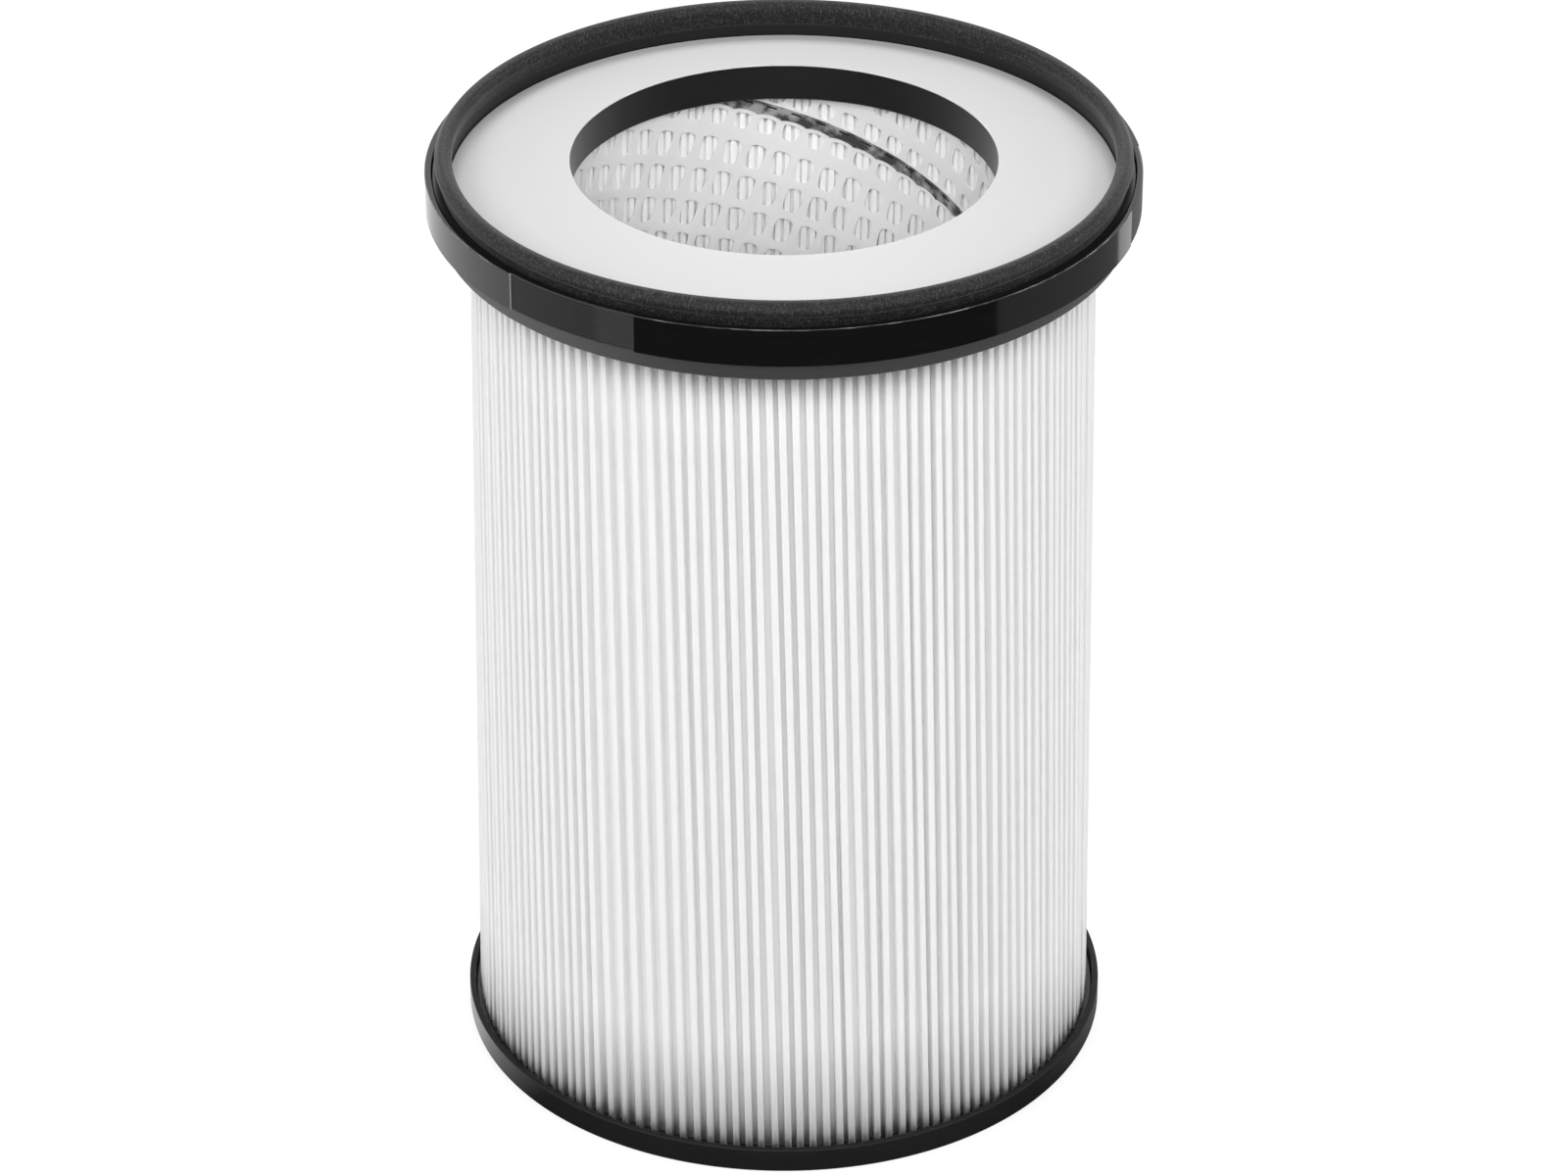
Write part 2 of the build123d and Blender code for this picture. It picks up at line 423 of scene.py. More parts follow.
def white_fleece(rgb):
    """Bonded fleece with slanting strokes from its embossing and a fine fibre grain."""
    material, tree = new_finish("white_fleece")
    cloth = tree.node("ShaderNodeUVMap", {"uv_map": "cloth"})
    slanted = tree.node("ShaderNodeMapping", None, {"Vector": cloth, "Rotation": (0, 0, radians(30))})
    ridges = {"Vector": slanted, "Scale": 330, "Distortion": 5, "Detail": 2, "Detail Scale": 1.2}
    rope = tree.node("ShaderNodeTexWave", None, ridges)
    strokes = noise(tree, stretched(tree, cloth, radians(-55), (280, 1300, 1)), 1, 2)
    fibre = noise(tree, cloth, 3200, 1)
    cloud = noise(tree, cloth, 45, 2)
    speck = tree.node("ShaderNodeTexVoronoi", None, {"Vector": cloth, "Scale": 55, "Randomness": 1})
    dark_speck = tree.maths("LESS_THAN", speck, 0.011)
    plain = blend(tree, cloud, tint(rgb, 0.975), tint(rgb, 1.02))
    close_finish(
        tree,
        {
            "Base Color": blend(tree, dark_speck * 0.45, plain, tint(rgb, 0.35)),
            "Roughness": 0.84 + cloud * 0.1,
            "Specular IOR Level": 0.2,
            "Normal": bump(tree, rope * 0.35 + strokes * 0.4 + fibre * 0.25, 0.0005, 0.7),
        },
    )
    return material


def white_sheet(rgb):
    """Smooth milky plastic of the perforated liner."""
    material, tree = new_finish("white_sheet")
    place = place_of(tree)
    cloud = noise(tree, place, 30, 2)
    ripple = noise(tree, place, 260, 2)
    close_finish(
        tree,
        {
            "Base Color": blend(tree, cloud, tint(rgb, 0.96), tint(rgb, 1.03)),
            "Roughness": 0.36 + cloud * 0.12,
            "Specular IOR Level": 0.4,
            "Subsurface Weight": 0.25,
            "Subsurface Radius": (1, 1, 1),
            "Subsurface Scale": 0.001,
            "Normal": bump(tree, ripple, 0.0003, 0.25),
        },
    )
    return material


def overlap_shade_and_glue(rgb):
    """Mottled grey along the liner's seam: painted shade of the strip's overlap, with glue mottling."""
    material, tree = new_finish("overlap_shade_and_glue")
    place = place_of(tree)
    mottle = noise(tree, place, 160, 4)
    patches = tree.node("ShaderNodeValToRGB", {"stops": [(0.42, 0), (0.62, 1)]}, {0: mottle})
    close_finish(
        tree,
        {
            "Base Color": blend(tree, patches, tint(rgb, 0.25), tint(rgb, 1.9)),
            "Roughness": 0.3 + mottle * 0.3,
            "Normal": bump(tree, mottle, 0.0008, 0.5),
        },
    )
    return material


def painted_slit_shade():
    """Near-black faces that paint the shade of slits in the liner's seam; they are not openings."""
    material, tree = new_finish("painted_slit_shade")
    depth = noise(tree, place_of(tree), 700, 1)
    shade = blend(tree, depth, grey(0.004), grey(0.012))
    close_finish(tree, {"Base Color": shade, "Roughness": 0.9})
    return material


def smooth_plate(rgb):
    """Light grey plate with a faint sheen."""
    material, tree = new_finish("smooth_plate")
    place = place_of(tree)
    cloud = noise(tree, place, 14, 2)
    grain = noise(tree, place, 1800, 1)
    plain = blend(tree, cloud, tint(rgb, 0.985), tint(rgb, 1.015))
    # A pale line round the outlet's edge is a painted highlight, with some wear.
    wear_and_highlight = wear_and_highlight_edge(tree, OUTLET_RADIUS, PLATE_TOP, 0.0008)
    close_finish(
        tree,
        {
            "Base Color": blend(tree, wear_and_highlight, plain, grey(0.95)),
            "Roughness": 0.46 + cloud * 0.08,
            "Specular IOR Level": 0.12,
            "Normal": bump(tree, grain, 0.00004, 0.3),
        },
    )
    return material


def cellular_rubber(rgb):
    """Dark foam rubber with fine hair-like marks across the bead."""
    material, tree = new_finish("cellular_rubber")
    ring = round_place(tree, SEAL_RADIUS)
    slant = {"Vector": ring, "Rotation": (0, 0.5, 0), "Scale": (1500, 300, 300)}
    hairs = noise(tree, tree.node("ShaderNodeMapping", None, slant), 1, 2)
    cells = noise(tree, ring, 900, 2)
    cloud = noise(tree, ring, 35, 2)
    pale = tree.node("ShaderNodeValToRGB", {"stops": [(0.48, 0), (0.7, 1)]}, {0: hairs * 0.4 + cells * 0.6})
    close_finish(
        tree,
        {
            "Base Color": blend(tree, pale * 0.8 + cloud * 0.15, tint(rgb, 0.35), tint(rgb, 6)),
            "Roughness": 0.5 + cells * 0.2,
            "Specular IOR Level": 0.2,
            "Sheen Weight": 0.25,
            "Sheen Roughness": 0.35,
            "Normal": bump(tree, cells * 0.6 + hairs * 0.4, 0.0003, 0.7),
        },
    )
    return material


def gloss_black(rgb):
    """Polished black plastic with a faint haze."""
    material, tree = new_finish("gloss_black")
    ring = round_place(tree, GRIP_RADIUS)
    drawn_out = tree.node("ShaderNodeMapping", None, {"Vector": ring, "Scale": (25, 400, 400)})
    haze = noise(tree, drawn_out, 1, 3)
    plain = blend(tree, haze, tint(rgb, 0.7), tint(rgb, 1.4))
    # A pale line along the ring's top outer edge is a painted highlight, with some wear.
    wear_and_highlight = wear_and_highlight_edge(tree, GRIP_RADIUS, GRIP_TOP, 0.0006)
    close_finish(
        tree,
        {
            "Base Color": blend(tree, wear_and_highlight, plain, grey(0.3)),
            "Roughness": 0.06 + haze * 0.07 + wear_and_highlight * 0.3,
            "Specular IOR Level": 0.5,
        },
    )
    return material


def painted_end_highlight():
    """Pale paint on the wall at a grip's left end, a painted highlight of that edge."""
    material, tree = new_finish("painted_end_highlight")
    highlight_streaks = noise(tree, place_of(tree), 900, 2)
    pale = blend(tree, highlight_streaks, grey(0.25), grey(0.75))
    close_finish(tree, {"Base Color": pale, "Roughness": 0.4 + highlight_streaks * 0.2})
    return material


# Mesh building
def plate_level(sizes, radius):
    """Height of the cover plate's sloping top at a radius."""
    rim = WEB_TOP + sizes.plate_thickness
    return PLATE_TOP - (PLATE_TOP - rim) * (radius - OUTLET_RADIUS) / (PLATE_RADIUS - OUTLET_RADIUS)


def turned(bm, outline, steps, start=0.0, closed=True):
    """Spin an outline of corners, each a radius, a height and a rounding, once round the axis."""
    corners = [bm.verts.new((radius, 0, height)) for radius, height, _ in outline]
    for first, second in zip(corners, corners[1:]):
        bm.edges.new((first, second))
    if closed:
        bm.edges.new((corners[-1], corners[0]))
    for corner, (_, _, rounding) in zip(corners, outline):
        if rounding:
            bmesh.ops.bevel(
                bm,
                geom=[corner],
                offset=rounding,
                segments=4,
                profile=0.5,
                affect="VERTICES",
                material=-1,
            )
    bmesh.ops.rotate(bm, verts=bm.verts[:], cent=(0, 0, 0), matrix=Matrix.Rotation(start, 3, "Z"))
    bmesh.ops.spin(
        bm,
        geom=bm.verts[:] + bm.edges[:],
        axis=(0, 0, 1),
        cent=(0, 0, 0),
        angle=tau,
        steps=steps,
        use_merge=True,
    )
    bmesh.ops.remove_doubles(bm, verts=bm.verts[:], dist=1e-6)
    bmesh.ops.recalc_face_normals(bm, faces=bm.faces[:])


def linked_object(name, bm):
    """An object in the scene, made from a bmesh."""
    mesh = bpy.data.meshes.new(name)
    bm.to_mesh(mesh)
    bm.free()
    made = bpy.data.objects.new(name, mesh)
    bpy.context.scene.collection.objects.link(made)
    return made


def new_piece(name, bm, finishes, slot, *nodes):
    """Turn a bmesh into a piece that rides on the filter and stands for its CAD nodes."""
    piece = linked_object(name, bm)
    piece.data.shade_smooth()
    piece.data.set_sharp_from_angle(angle=radians(40))
    for finish in finishes:
        piece.data.materials.append(finish)
    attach(piece, "root")
    if nodes:
        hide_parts(*nodes)
    return piece


def turned_piece(name, outline, steps, finish, slot, node, closed=True):
    """A turned ring or pan with even shading on its flats."""
    bm = bmesh.new()
    turned(bm, outline, steps, closed=closed)
    piece = new_piece(name, bm, [finish], slot, node)
    piece.modifiers.new("even_shading", "WEIGHTED_NORMAL").keep_sharp = True
    return piece


def pleat_tips(sizes, chance):
    """Angle of each pleat's tip from the front, looser round one place and a little uneven."""
    steps = []
    for pleat in range(sizes.pleat_count):
        place = tau * (pleat + 0.5) / sizes.pleat_count - pi
        loose = exp(-(((place - sizes.loose_place) / sizes.loose_width) ** 2))
        steps.append(1 + sizes.loose_share * loose + sizes.uneven_share * chance.uniform(-1, 1))
    tips = []
    place = -pi
    for step in steps:
        tips.append(place + step * pi / sum(steps))
        place += step * tau / sum(steps)
    return tips


# Degrees round the crown of a tip and of an inner fold at which the fleece has a point
TIP_TURNS = (18, 38, 54, 72, 90)
FOLD_TURNS = (30, 60, 90)
# A crown's drop as a share of its half-width, and the power that rounds it
CROWN_DROP = 0.5
CROWN_POWER = 0.52
# Down the side of a groove: shares of its depth and of the way to its middle
GROOVE_SIDE = ((0.84, 0), (0.97, 0.04), (1, 0.16), (1.005, 1), (1.12, 1))


def fold_stations(half_width, groove, turns):
    """One side of a fold, from its rounded crown to the floor of the groove beside it.

    Each station is a half-width, a depth and how far the sheet has spread to the groove's middle."""
    stations = []
    for turn in turns:
        drop = CROWN_DROP * half_width * (1 - max(0, cos(radians(turn))) ** CROWN_POWER)
        stations.append((half_width * sin(radians(turn)) ** CROWN_POWER, drop, 0))
    for depth, spread in GROOVE_SIDE:
        stations.append((half_width, groove * depth, spread))
    return stations


def fold_path(sizes, pleats, level):
    """Points once round the pack at one level, along the middle of the fleece.

    Each groove's floor belongs to the pleat on its left and closes beside the pleat on its right."""
    fleece = sizes.fleece_thickness
    twist = sizes.pack_twist * (0.5 - level)
    height = PACK_FOOT + level * (WEB_FOOT - sizes.resin_cover - PACK_FOOT)
    fold_radius = PLEAT_RADIUS - sizes.pleat_depth + fleece / 2
    half_slit = (sizes.groove_slit + fleece) / 2
    inner = fold_stations((sizes.fold_width - fleece) / 2, sizes.fold_groove, FOLD_TURNS)
    places = [pleat.place(level) for pleat in pleats]
    half_tips = [pleat.width * (sizes.tip_width - fleece) / 2 for pleat in pleats]
    folds = []
    for pleat, place in enumerate(places):
        floor_radius = pleats[pleat].tip_radius(sizes, level) - sizes.groove_depth / 2
        folds.append(place - (half_tips[pleat] + half_slit) / floor_radius)

    def spot(radius, turn):
        return Vector((radius * sin(turn + twist), -radius * cos(turn + twist), height))

    def leg(pleat, side):
        place = places[pleat]
        left_fold = folds[pleat]
        right_fold = folds[(pleat + 1) % len(folds)]
        fold = right_fold if side > 0 else left_fold
        room = side * (fold - place) % tau
        inner_room = (right_fold - left_fold) % tau / 2
        points = []
        outer = fold_stations(half_tips[pleat], sizes.groove_depth, TIP_TURNS)
        for half_width, depth, spread in outer:
            radius = pleats[pleat].tip_radius(sizes, level) - depth
            width = half_width + spread * (radius * room - half_slit - half_width)
            points.append(spot(radius, place + side * width / radius))
        for half_width, depth, spread in reversed(inner):
            radius = fold_radius + depth
            width = half_width + spread * (radius * inner_room - half_slit - half_width)
            points.append(spot(radius, fold - side * width / radius))
        return points

    path = []
    for pleat, place in enumerate(places):
        tip = spot(pleats[pleat].tip_radius(sizes, level), place)
        fold = spot(fold_radius, folds[(pleat + 1) % len(folds)])
        path += [*reversed(leg(pleat, -1)), tip, *leg(pleat, 1), fold]
    return path


class Pleat:
    """One pleat's own place, width and reach, and how it strays along its height."""

    def __init__(self, sizes, tip, chance):
        self.tip = tip
        self.stray = chance.uniform(0.2, 1) * sizes.tip_wander / PLEAT_RADIUS
        self.pace = chance.uniform(0.4, 0.9)
        self.start = chance.random()
        self.width = 1 + sizes.width_share * chance.uniform(-1, 1)
        self.reach = sizes.tip_reach * chance.uniform(-1, 1)

    def place(self, level):
        """Angle of the tip at a level, before the pack's twist."""
        return self.tip + self.stray * sin(tau * (level * self.pace + self.start))

    def tip_radius(self, sizes, level):
        """Radius of the tip's middle layer at a level."""
        return PLEAT_RADIUS - sizes.fleece_thickness / 2 + sizes.pack_taper * (0.5 - level) + self.reach


def pleat_sheet(sizes):
    """The fleece as one folded sheet, with its unfolded place as a UV map."""
    chance = random.Random(17)
    pleats = [Pleat(sizes, tip, chance) for tip in pleat_tips(sizes, chance)]
    levels = sizes.pack_levels
    paths = [fold_path(sizes, pleats, level / levels) for level in range(levels + 1)]
    stations = len(paths[0])
    unfolded = [0.0]
    for first, second in zip(paths[0], paths[0][1:] + paths[0][:1]):
        unfolded.append(unfolded[-1] + (second - first).length)

    bm = bmesh.new()
    cloth = bm.loops.layers.uv.new("cloth")
    bmesh.ops.create_grid(bm, x_segments=stations, y_segments=levels, size=0.5)
    seat = {}
    for vert in bm.verts:
        seat[vert] = (round((vert.co.x + 0.5) * stations), round((vert.co.y + 0.5) * levels))
    for face in bm.faces:
        for loop in face.loops:
            station, level = seat[loop.vert]
            loop[cloth].uv = (unfolded[station], paths[level][0].z)
    for vert, (station, level) in seat.items():
        vert.co = paths[level][station % stations]
    seam = [vert for vert, (station, _) in seat.items() if station in (0, stations)]
    bmesh.ops.remove_doubles(bm, verts=seam, dist=1e-6)
    bmesh.ops.recalc_face_normals(bm, faces=bm.faces[:])
    return bm


class Strip:
    """The liner's strip, wound into a helix: places along and across it, put on a radius."""

    def __init__(self, sizes):
        self.radius = LINER_RADIUS
        self.seam_height = sizes.seam_height
        girth = tau * self.radius
        self.slope = atan(sizes.liner_lead / girth)
        self.width = sizes.liner_lead * cos(self.slope)
        self.turn_length = girth * cos(self.slope)

    def along(self, height):
        """Place along the strip's lower edge at a height."""
        return (self.seam_height - height) / sin(self.slope)

    def wound(self, along, across, radius):
        """Point on the helix."""
        turn = (along * cos(self.slope) + across * sin(self.slope)) / self.radius
        height = self.seam_height - along * sin(self.slope) + across * cos(self.slope)
        return Vector((radius * sin(turn), radius * cos(turn), height))


def trim(bm, foot, top):
    """Cut a mesh off level below one height and above another."""
    for height, way in ((foot, -1), (top, 1)):
        bmesh.ops.bisect_plane(
            bm,
            geom=bm.verts[:] + bm.edges[:] + bm.faces[:],
            dist=1e-7,
            plane_co=(0, 0, height),
            plane_no=(0, 0, way),
            clear_outer=True,
        )


# Even power that squares a window's outline, and how much wider its top is than its middle
WINDOW_POWER = 4
WINDOW_TAPER = 0.1


def rounded_window(face, width, height):
    """Move a window's corners and edge points onto a rounded oblong round its middle."""
    middle = face.calc_center_median()
    reach_x = max(abs(vert.co.x - middle.x) for vert in face.verts)
    reach_y = max(abs(vert.co.y - middle.y) for vert in face.verts)
    for vert in face.verts:
        turn = atan2((vert.co.y - middle.y) / reach_y, (vert.co.x - middle.x) / reach_x)
        out = (cos(turn) ** WINDOW_POWER + sin(turn) ** WINDOW_POWER) ** (-1 / WINDOW_POWER)
        taper = 1 + WINDOW_TAPER * out * sin(turn)
        vert.co.x = middle.x + width / 2 * taper * out * cos(turn)
        vert.co.y = middle.y + height / 2 * out * sin(turn)


def liner_sheet(sizes):
    """The perforated strip, wound on its radius and cut off level at both ends."""
    strip = Strip(sizes)
    column = strip.turn_length / sizes.strip_columns
    row = strip.width / sizes.strip_rows
    first = int(strip.along(LINER_TOP) / column) - 1
    columns = ceil(strip.along(LINER_FOOT - sizes.liner_lead) / column) + 1 - first
    bm = bmesh.new()
    bmesh.ops.create_grid(bm, x_segments=columns, y_segments=sizes.strip_rows, size=0.5)
    bmesh.ops.scale(bm, vec=(columns * column, strip.width, 1), verts=bm.verts[:])
    middle = ((first + columns / 2) * column, strip.width / 2, 0)
    bmesh.ops.translate(bm, vec=middle, verts=bm.verts[:])

    windows = bm.faces[:]
    bmesh.ops.inset_individual(bm, faces=windows, thickness=0.2 * column)
    edges = list({edge for window in windows for edge in window.edges})
    bmesh.ops.bisect_edges(bm, edges=edges, cuts=2)
    for window in windows:
        at_seam = int(window.calc_center_median().y / row) in (0, sizes.strip_rows - 1)
        rounded_window(window, sizes.window_width, sizes.short_window if at_seam else sizes.window_height)
    bmesh.ops.delete(bm, geom=windows, context="FACES_ONLY")
    for vert in bm.verts:
        vert.co = strip.wound(vert.co.x, vert.co.y, strip.radius)
    trim(bm, LINER_FOOT, LINER_TOP)
    bmesh.ops.remove_doubles(bm, verts=bm.verts[:], dist=1e-5)
    thicken(bm, sizes.liner_wall)
    return bm


def seam_band(sizes):
    """The glued seam: arches over the windows below it and a row of slits along its top, painted as
    near-black faces of shade.
    """
    strip = Strip(sizes)
    column = strip.turn_length / sizes.strip_columns
    pieces_per_column = 12
    slit_pieces = range(3, 8)
    rows = (None, -0.2, 0.45, 0.72, 1.0)
    foot = LINER_FOOT + sizes.seam_rise
    top = WEB_FOOT - sizes.spigot_depth - sizes.fit_gap
    first = int(strip.along(top) / column) - 1
    columns = ceil(strip.along(foot) / column) + 1 - first
    bm = bmesh.new()
    bmesh.ops.create_grid(bm, x_segments=columns * pieces_per_column, y_segments=len(rows) - 1, size=0.5)
    inner = LINER_RADIUS - sizes.liner_wall
    for face in bm.faces:
        middle = face.calc_center_median()
        piece = int((middle.x + 0.5) * columns * pieces_per_column) % pieces_per_column
        in_slit_row = int((middle.y + 0.5) * (len(rows) - 1)) == 2
        # Faces in the slit row take the near-black finish that paints the slits' shade.
        face.material_index = 1 if in_slit_row and piece in slit_pieces else 0
    for vert in bm.verts:
        along = (first + (vert.co.x + 0.5) * columns) * column
        level = rows[round((vert.co.y + 0.5) * (len(rows) - 1))]
        if level is None:
            arch = abs(sin(pi * along / column)) ** 0.7
            across = sizes.seam_scallop * arch - sizes.seam_drop
        else:
            across = level * sizes.seam_rise
        vert.co = strip.wound(along, across, inner)
    trim(bm, foot, top)
    thicken(bm, sizes.seam_thickness)
    return bm


def thicken(bm, thickness):
    """Give a sheet its thickness, towards the axis."""
    bmesh.ops.recalc_face_normals(bm, faces=bm.faces[:])
    bmesh.ops.solidify(bm, geom=bm.faces[:], thickness=thickness)


# Operators, one for each piece or pair of like pieces
class FILTER_OT_bottom_pan(bpy.types.Operator):
    """Build the closed pan under the pleats"""

    bl_idname = "dust_filter.bottom_pan"
    bl_label = "Bottom Pan"

    def execute(self, context):
        sizes = context.scene.filter_sizes
        inner = PAN_RADIUS - sizes.pan_wall
        rim_round = 0.0008
        outline = [
            (0, PAN_FOOT, 0),
            (PAN_RADIUS, PAN_FOOT, 0.0012),
            (PAN_RADIUS, PAN_TOP, rim_round),
            (inner, PAN_TOP, 0.0007),
            (inner, PAN_FLOOR, 0),
            (0, PAN_FLOOR, 0),
        ]
        black = context.scene.filter_colours.pan_black
        # Pale dashes along the rim's inner edge are painted glints of light.
        rim = (inner, PAN_TOP)
        finish = satin_black("pan_black", black, rim, 0.2, 0.7)
        piece = turned_piece(
            "bottom_pan",
            outline,
            sizes.ring_steps,
            finish,
            "cap_black",
            "bottom_end_cap",
            closed=False,
        )
        piece.data.materials.append(satin_black("dull_rim", black, rim, 0.6, 0.15))
        for face in piece.data.polygons:
            face.material_index = 1 if face.center.z > PAN_TOP - rim_round / 2 else 0
        return {"FINISHED"}


class FILTER_OT_resin_rings(bpy.types.Operator):
    """Build the cast resin round both ends of the pleats"""

    bl_idname = "dust_filter.resin_rings"
    bl_label = "Resin Rings"

    def execute(self, context):
        sizes = context.scene.filter_sizes
        finish = cast_resin(context.scene.filter_colours.resin_black)
        inner = LINER_RADIUS + sizes.fit_gap
        # The upper resin reaches a little below the ends of the pleats
        overlap = 0.0006
        underside = WEB_FOOT - sizes.resin_cover - overlap
        soft = 0.0004
        lower = [
            (inner, PAN_FLOOR),
            (LOWER_RESIN_RADIUS, PAN_FLOOR),
            (LOWER_RESIN_RADIUS, PACK_FOOT),
            (inner, PACK_FOOT),
        ]
        upper = [
            (inner, underside),
            (PLEAT_RADIUS, underside),
            (PLEAT_RADIUS, PACK_TOP),
            (UPPER_RESIN_RADIUS, PACK_TOP),
            (UPPER_RESIN_RADIUS, WEB_FOOT),
            (inner, WEB_FOOT),
        ]
        rings = (("lower_resin", lower, "bottom_potting"), ("upper_resin", upper, "top_potting"))
        for name, corners, node in rings:
            outline = [(radius, height, soft) for radius, height in corners]
            turned_piece(name, outline, sizes.ring_steps, finish, "resin", node)
        return {"FINISHED"}


class FILTER_OT_pleats(bpy.types.Operator):
    """Fold the fleece into its pleats"""

    bl_idname = "dust_filter.pleats"
    bl_label = "Pleated Fleece"

    def execute(self, context):
        sizes = context.scene.filter_sizes
        finish = white_fleece(context.scene.filter_colours.fleece_white)
        piece = new_piece("pleated_fleece", pleat_sheet(sizes), [finish], "fleece", "pleat_pack")
        wall = piece.modifiers.new("thickness", "SOLIDIFY")
        wall.thickness = sizes.fleece_thickness
        wall.offset = 0
        wall.use_even_offset = True
        return {"FINISHED"}


class FILTER_OT_liner(bpy.types.Operator):
    """Wind the perforated liner and lay its glued seam"""

    bl_idname = "dust_filter.liner"
    bl_label = "Perforated Liner"

    def execute(self, context):
        sizes = context.scene.filter_sizes
        colours = context.scene.filter_colours
        sheet = white_sheet(colours.liner_white)
        new_piece("perforated_liner", liner_sheet(sizes), [sheet], "liner_white", "support_liner")
        # The seam's grey paints the shade of the overlap; its slits are painted shade too.
        glue_and_shade = overlap_shade_and_glue(colours.seam_glue_and_shade_grey)
        new_piece("liner_seam", seam_band(sizes), [glue_and_shade, painted_slit_shade()], "resin")
        return {"FINISHED"}


class FILTER_OT_top_cap(bpy.types.Operator):
    """Build the top cap with its collar, lip and seal wall"""

    bl_idname = "dust_filter.top_cap"
    bl_label = "Top Cap"

    def execute(self, context):
        sizes = context.scene.filter_sizes
        collar = OUTLET_RADIUS + sizes.collar_wall
        wall_inner = PLATE_RADIUS + sizes.fit_gap
        wall_outer = wall_inner + sizes.seal_wall
        outline = [
            (OUTLET_RADIUS, WEB_FOOT - sizes.spigot_depth, 0.0008),
            (collar, WEB_FOOT - sizes.spigot_depth, 0.0003),
            (collar, WEB_FOOT, 0),
            (PLATE_RADIUS, WEB_FOOT, 0),
            (PLATE_RADIUS, LIP_FOOT, 0.0005),
            (PLATE_RADIUS + sizes.lip_wall, LIP_FOOT, 0.0016),
            (SHOULDER_RADIUS, GRIP_FOOT, 0.0004),
            (wall_outer, GRIP_FOOT, 0),
            (wall_outer, SEAL_FOOT, 0.0004),
            (wall_inner, SEAL_FOOT, 0.0003),
            (wall_inner, WEB_TOP, 0),
            (collar, WEB_TOP, 0),
            (collar, plate_level(sizes, collar) - sizes.plate_edge, 0),
            (OUTLET_RADIUS, PLATE_TOP - sizes.plate_edge, 0),
        ]
        colours = context.scene.filter_colours
        collar_edge = (OUTLET_RADIUS, WEB_FOOT - sizes.spigot_depth)
        lip_edge = (PLATE_RADIUS + sizes.lip_wall, LIP_FOOT)
        black = satin_black("cap_black", colours.cap_black, collar_edge, 0.26, 0.35)
        grained = satin_black("lip_grain", colours.lip_grey, lip_edge, 0.5, 0.35, 0.00015)
        piece = turned_piece("top_cap", outline, sizes.ring_steps, black, "cap_black", "top_end_cap")
        piece.data.materials.append(grained)
        for face in piece.data.polygons:
            on_lip = face.center.z < GRIP_FOOT and face.center.xy.length > PLATE_RADIUS + sizes.fit_gap
            face.material_index = 1 if on_lip else 0
        return {"FINISHED"}


class FILTER_OT_cover_plate(bpy.types.Operator):
    """Build the dished plate round the outlet"""

    bl_idname = "dust_filter.cover_plate"
    bl_label = "Cover Plate"

    def execute(self, context):
        sizes = context.scene.filter_sizes
        round_collar = OUTLET_RADIUS + sizes.collar_wall + sizes.fit_gap
        outline = [
            (OUTLET_RADIUS, PLATE_TOP - sizes.plate_edge, 0),
            (round_collar, plate_level(sizes, round_collar) - sizes.plate_edge, 0),
            (round_collar, plate_level(sizes, round_collar) - sizes.plate_thickness, 0),
            (PLATE_RADIUS - sizes.plate_seat, WEB_TOP, 0),
            (PLATE_RADIUS, WEB_TOP, 0),
            (PLATE_RADIUS, WEB_TOP + sizes.plate_thickness, 0.0005),
            (OUTLET_RADIUS, PLATE_TOP, 0.0003),
        ]
        finish = smooth_plate(context.scene.filter_colours.plate_grey)
        turned_piece("cover_plate_top", outline, sizes.ring_steps, finish, "plate_grey", "cover_plate")
        return {"FINISHED"}


class FILTER_OT_seal(bpy.types.Operator):
    """Build the round seal bead with its parting crease"""

    bl_idname = "dust_filter.seal"
    bl_label = "Seal Bead"

    def execute(self, context):
        sizes = context.scene.filter_sizes
        middle = SEAL_RADIUS - sizes.bead_radius
        centre_height = SEAL_TOP - sizes.bead_radius
        foot_inner = PLATE_RADIUS + sizes.fit_gap
        outline = [
            (foot_inner, SEAL_FOOT, 0),
            (foot_inner + sizes.seal_foot, SEAL_FOOT, 0),
        ]
        crease_width = radians(5)
        lobe_width = radians(20)
        # Round the bead in degrees, from under its outer side over its top to under its inner side
        for degrees in range(-52, 219, 6):
            turn = radians(degrees)
            crease = exp(-(((turn - sizes.crease_place) / crease_width) ** 2))
            hollow = exp(-(((turn - sizes.lobe_place) / lobe_width) ** 2))
            radius = sizes.bead_radius - sizes.crease_depth * crease - sizes.lobe_depth * hollow
            outline.append((middle + radius * cos(turn), centre_height + radius * sin(turn), 0))
        finish = cellular_rubber(context.scene.filter_colours.seal_grey)
        turned_piece("seal_bead", outline, sizes.ring_steps, finish, "seal_rubber", "seal_ring")
        return {"FINISHED"}


